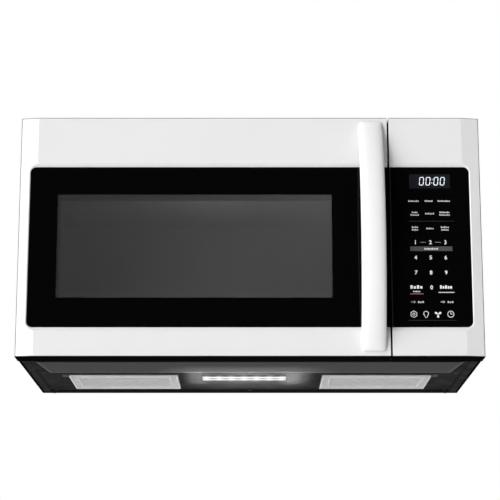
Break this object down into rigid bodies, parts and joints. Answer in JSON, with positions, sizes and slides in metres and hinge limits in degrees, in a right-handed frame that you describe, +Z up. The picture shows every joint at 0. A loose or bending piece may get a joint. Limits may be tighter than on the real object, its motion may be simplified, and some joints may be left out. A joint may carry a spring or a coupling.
{
  "type": "over the range microwave",
  "caption": "Microwave oven with a ventilation hood that hangs over a cooktop: side-hinged door with a bowed handle, glass touch panel, louvred top vent, grease filters and cooktop lamp below",
  "frame": {"origin": "middle of the rear face's bottom edge", "axes": "+X to the right seen from the front, +Y back into the wall, +Z up"},
  "size_m": [0.759, 0.435, 0.4195],
  "materials": {
    "white_plastic": "satin white moulding",
    "black_glass": "back-printed black glass",
    "clear_glass": "clear tempered glass",
    "case_steel": "dark grey powder coat",
    "zinc_steel": "zinc-plated sheet",
    "core_steel": "varnished laminations",
    "cavity_enamel": "pale grey enamel",
    "screw_steel": "bright zinc",
    "screen_steel": "blackened fine screen",
    "filter_aluminium": "layered aluminium mesh in a rolled frame",
    "charcoal": "granular charcoal block",
    "rubber": "moulded rubber",
    "black_plastic": "black moulded plastic",
    "pale_plastic": "natural heat-proof plastic",
    "mica": "mica sheet",
    "ceramic": "porcelain holder with its bulb",
    "circuit_board": "green solder mask",
    "copper": "varnished copper wire",
    "lamp_lens": "frosted cover over lit diodes",
    "display": "lit segment display"
  },
  "bodies": {
    "cabinet": {"outer_case": "case_steel", "rear_panel": "zinc_steel", "base_plate": "case_steel", "front_frame": "case_steel", "oven_cavity": "cavity_enamel", "component_tray": "zinc_steel", "top_brackets": "zinc_steel", "vent_grille": "white_plastic", "charcoal_filter": "charcoal", "cabinet_screws": "screw_steel", "rear_feet": "rubber", "cord_bushing": "black_plastic", "cooktop_lamp_lens": "lamp_lens", "cooktop_lamp_board": "circuit_board", "cooktop_lamp_housing": "zinc_steel", "waveguide_cover": "mica", "cavity_lamp": "ceramic", "turntable_motor": "zinc_steel", "magnetron": "zinc_steel", "waveguide": "zinc_steel", "transformer_core": "core_steel", "transformer_windings": "copper", "hv_capacitor": "zinc_steel", "capacitor_clamp": "zinc_steel", "hv_diode": "black_plastic", "noise_filter_board": "circuit_board", "cooling_fan_motor": "core_steel", "cooling_fan_bracket": "zinc_steel", "blower_housing": "zinc_steel", "blower_motor": "zinc_steel", "control_panel_frame": "white_plastic", "control_glass": "black_glass", "control_board": "circuit_board", "display_module": "display", "interlock_bracket": "pale_plastic", "interlock_switches": "black_plastic", "hinge_brackets": "zinc_steel"},
    "door": {"door_frame": "white_plastic", "door_glass": "black_glass", "door_choke_frame": "case_steel", "door_mesh": "screen_steel", "door_inner_window": "clear_glass", "choke_cover": "black_plastic", "door_handle": "white_plastic", "handle_screws": "screw_steel", "latch_spring": "screw_steel"},
    "latch": {"latch_hooks": "pale_plastic"},
    "turntable": {"turntable_coupler": "pale_plastic", "glass_turntable": "clear_glass"},
    "roller_ring": {"roller_ring": "pale_plastic"},
    "roller_1": {"roller_1": "pale_plastic"},
    "roller_2": {"roller_2": "pale_plastic"},
    "roller_3": {"roller_3": "pale_plastic"},
    "blower": {"blower_rotor": "black_plastic"},
    "cooling_fan": {"cooling_fan": "black_plastic"},
    "filter_left": {"grease_filter_left": "filter_aluminium"},
    "filter_right": {"grease_filter_right": "filter_aluminium"},
    "plunger_lower": {"plunger_lower": "pale_plastic"},
    "plunger_upper": {"plunger_upper": "pale_plastic"}
  },
  "joints": [
    {"name": "door_hinge", "type": "hinge", "parent": "cabinet", "child": "door", "pos_m": [-0.3705, -0.351, 0.2005], "axis": [0, 0, -1], "range_deg": [0, 100]},
    {"name": "latch_slide", "type": "slide", "parent": "door", "child": "latch", "axis": [0, 0, 1], "range_m": [0, 0.004], "stiffness_N_per_m": 500, "springref_m": -0.005, "deforming": ["latch_spring"]},
    {"name": "turntable_spin", "type": "hinge", "parent": "cabinet", "child": "turntable", "pos_m": [-0.0855, -0.1756, 0.0846], "axis": [0, 0, 1], "continuous": true},
    {"name": "roller_ring_spin", "type": "hinge", "parent": "cabinet", "child": "roller_ring", "pos_m": [-0.0855, -0.1756, 0.0773], "axis": [0, 0, 1], "continuous": true},
    {"name": "blower_spin", "type": "hinge", "parent": "cabinet", "child": "blower", "pos_m": [0, -0.1, 0.3532], "axis": [1, 0, 0], "continuous": true},
    {"name": "cooling_fan_spin", "type": "hinge", "parent": "cabinet", "child": "cooling_fan", "pos_m": [0.2755, -0.078, 0.251], "axis": [0, 1, 0], "continuous": true},
    {"name": "roller_1_spin", "type": "hinge", "parent": "roller_ring", "child": "roller_1", "pos_m": [0.00396, -0.12395, 0.0773], "axis": [0.866, 0.5, 0], "continuous": true},
    {"name": "roller_2_spin", "type": "hinge", "parent": "roller_ring", "child": "roller_2", "pos_m": [-0.17496, -0.12395, 0.0773], "axis": [-0.866, 0.5, 0], "continuous": true},
    {"name": "roller_3_spin", "type": "hinge", "parent": "roller_ring", "child": "roller_3", "pos_m": [-0.0855, -0.2789, 0.0773], "axis": [0, -1, 0], "continuous": true},
    {"name": "filter_left_tilt", "type": "hinge", "parent": "cabinet", "child": "filter_left", "pos_m": [-0.219, -0.0365, 0.0055], "axis": [1, 0, 0], "range_deg": [0, 60]},
    {"name": "filter_right_tilt", "type": "hinge", "parent": "cabinet", "child": "filter_right", "pos_m": [0.219, -0.0365, 0.0055], "axis": [1, 0, 0], "range_deg": [0, 60]},
    {"name": "plunger_lower_slide", "type": "slide", "parent": "cabinet", "child": "plunger_lower", "axis": [0, 1, 0], "range_m": [0, 0.0015], "stiffness_N_per_m": 200, "springref_m": -0.004},
    {"name": "plunger_upper_slide", "type": "slide", "parent": "cabinet", "child": "plunger_upper", "axis": [0, 1, 0], "range_m": [0, 0.0015], "stiffness_N_per_m": 200, "springref_m": -0.004}
  ],
  "couplings": [
    {"joint": "roller_ring_spin", "follows": "turntable_spin", "ratio": 0.5},
    {"joint": "roller_1_spin", "follows": "turntable_spin", "ratio": -7.3786},
    {"joint": "roller_2_spin", "follows": "turntable_spin", "ratio": -7.3786},
    {"joint": "roller_3_spin", "follows": "turntable_spin", "ratio": -7.3786}
  ]
}
